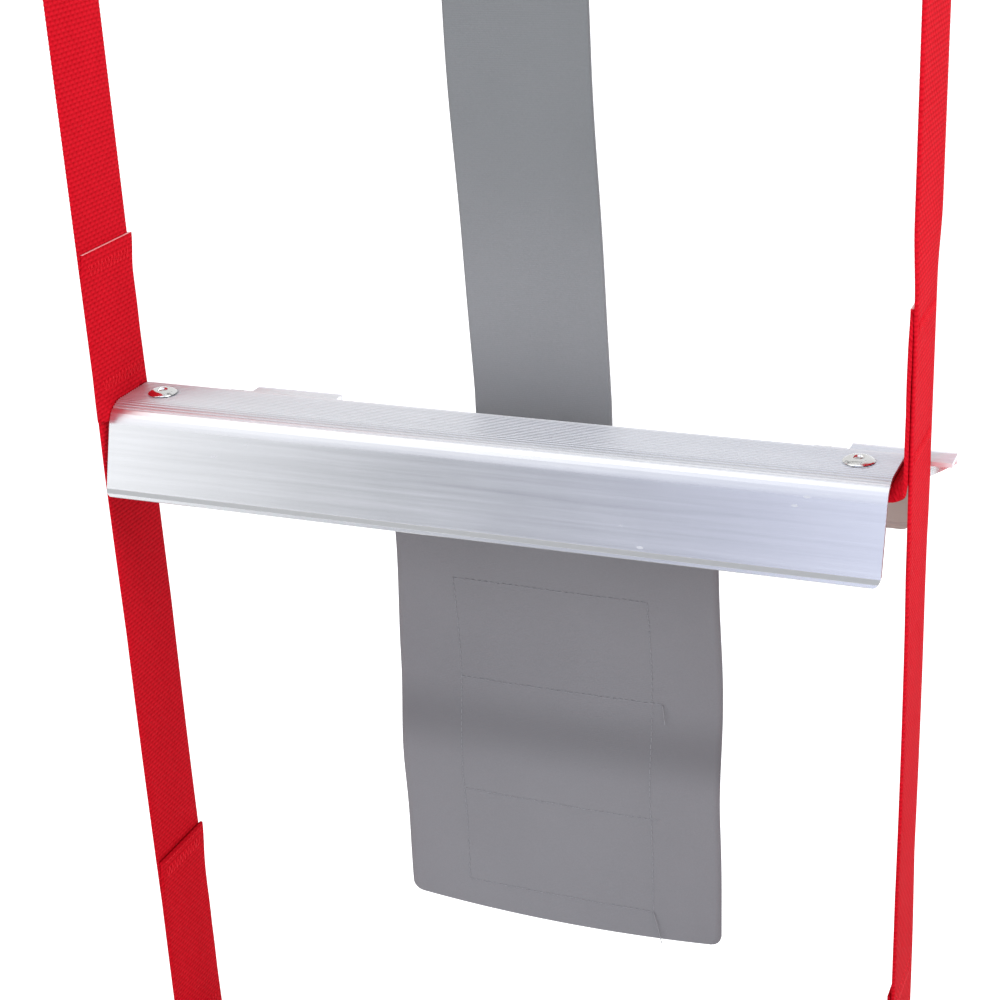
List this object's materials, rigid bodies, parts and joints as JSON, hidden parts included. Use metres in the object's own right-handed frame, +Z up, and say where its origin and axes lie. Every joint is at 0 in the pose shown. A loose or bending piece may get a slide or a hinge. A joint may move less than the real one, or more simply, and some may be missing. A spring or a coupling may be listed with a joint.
{
  "type": "escape ladder",
  "caption": "Window escape ladder: steel hooks over the sill, red webbing sides, nesting ribbed aluminium channel rungs and a grey storage strap with hook tape.",
  "frame": {"origin": "the middle of the rubber pad's underside, where the hooks rest on the sill", "axes": "+Z up, +X along the rungs, +Y from the climber towards the wall and into the room"},
  "size_m": [0.3874, 0.3277, 1.1475],
  "materials": {
    "painted_steel": "satin black powder coat",
    "zinc_steel": "bright zinc",
    "aluminium": "mill-finish extrusion, faint lengthwise die lines",
    "red_webbing": "woven polyester webbing",
    "grey_fabric": "brushed loop fabric",
    "hook_tape": "hook tape, sewn on",
    "rubber": "matt black rubber"
  },
  "bodies": {
    "hook_frame": {"sill_pad": "rubber", "sill_bar": "painted_steel", "hook_left": "painted_steel", "hook_right": "painted_steel", "tip_cap_left": "rubber", "tip_cap_right": "rubber", "inner_bar": "zinc_steel", "storage_rod": "zinc_steel", "pivot_rod": "zinc_steel", "pivot_spacer_left": "zinc_steel", "pivot_spacer_right": "zinc_steel", "pivot_nut_left": "zinc_steel", "pivot_nut_right": "zinc_steel"},
    "ladder_head": {"hanger_left": "painted_steel", "hanger_right": "painted_steel", "strap_1_left": "red_webbing", "strap_1_right": "red_webbing"},
    "rung_1_set": {"rung_1": "aluminium", "tab_1_left": "red_webbing", "rivet_1_left": "zinc_steel", "washer_1_left": "zinc_steel", "clip_1_left": "aluminium", "pin_1_left": "zinc_steel", "strap_2_left": "red_webbing", "tab_1_right": "red_webbing", "rivet_1_right": "zinc_steel", "washer_1_right": "zinc_steel", "clip_1_right": "aluminium", "pin_1_right": "zinc_steel", "strap_2_right": "red_webbing"},
    "rung_2_set": {"rung_2": "aluminium", "tab_2_left": "red_webbing", "rivet_2_left": "zinc_steel", "washer_2_left": "zinc_steel", "strap_3_left": "red_webbing", "tab_2_right": "red_webbing", "rivet_2_right": "zinc_steel", "washer_2_right": "zinc_steel", "strap_3_right": "red_webbing"},
    "rung_3_set": {"rung_3": "aluminium", "tab_3_left": "red_webbing", "rivet_3_left": "zinc_steel", "washer_3_left": "zinc_steel", "clip_3_left": "aluminium", "pin_3_left": "zinc_steel", "tab_3_right": "red_webbing", "rivet_3_right": "zinc_steel", "washer_3_right": "zinc_steel", "clip_3_right": "aluminium", "pin_3_right": "zinc_steel"},
    "standoff_1_left": {"standoff_1_left": "aluminium"},
    "standoff_1_right": {"standoff_1_right": "aluminium"},
    "standoff_3_left": {"standoff_3_left": "aluminium"},
    "standoff_3_right": {"standoff_3_right": "aluminium"},
    "storage_strap": {"storage_strap": "grey_fabric", "hook_tape_upper": "hook_tape", "hook_tape_middle": "hook_tape", "hook_tape_lower": "hook_tape"}
  },
  "joints": [
    {"name": "ladder_swing", "type": "hinge", "parent": "hook_frame", "child": "ladder_head", "pos_m": [0, -0.17645, -0.07], "axis": [-1, 0, 0], "range_deg": [0, 30]},
    {"name": "bay_1_fold", "type": "slide", "parent": "ladder_head", "child": "rung_1_set", "axis": [0, 0, 1], "range_m": [0, 0.235], "deforming": ["strap_1_left", "tab_1_left", "strap_1_right", "tab_1_right"]},
    {"name": "bay_2_fold", "type": "slide", "parent": "rung_1_set", "child": "rung_2_set", "axis": [0, 0, 1], "range_m": [0, 0.336], "deforming": ["strap_2_left", "tab_2_left", "strap_2_right", "tab_2_right"]},
    {"name": "bay_3_fold", "type": "slide", "parent": "rung_2_set", "child": "rung_3_set", "axis": [0, 0, 1], "range_m": [0, 0.312], "deforming": ["strap_3_left", "tab_3_left", "strap_3_right", "tab_3_right"]},
    {"name": "standoff_1_left_swing", "type": "hinge", "parent": "rung_1_set", "child": "standoff_1_left", "pos_m": [-0.1415, -0.143, -0.37], "axis": [0, 0, 1], "range_deg": [0, 90]},
    {"name": "standoff_1_right_swing", "type": "hinge", "parent": "rung_1_set", "child": "standoff_1_right", "pos_m": [0.1365, -0.143, -0.37], "axis": [0, 0, 1], "range_deg": [0, 90]},
    {"name": "standoff_3_left_swing", "type": "hinge", "parent": "rung_3_set", "child": "standoff_3_left", "pos_m": [-0.1415, -0.143, -1.07], "axis": [0, 0, 1], "range_deg": [0, 90]},
    {"name": "standoff_3_right_swing", "type": "hinge", "parent": "rung_3_set", "child": "standoff_3_right", "pos_m": [0.1365, -0.143, -1.07], "axis": [0, 0, 1], "range_deg": [0, 90]},
    {"name": "storage_swing", "type": "hinge", "parent": "hook_frame", "child": "storage_strap", "pos_m": [0.0079, -0.13847, -0.05357], "axis": [1, 0, 0], "range_deg": [0, 45]}
  ]
}
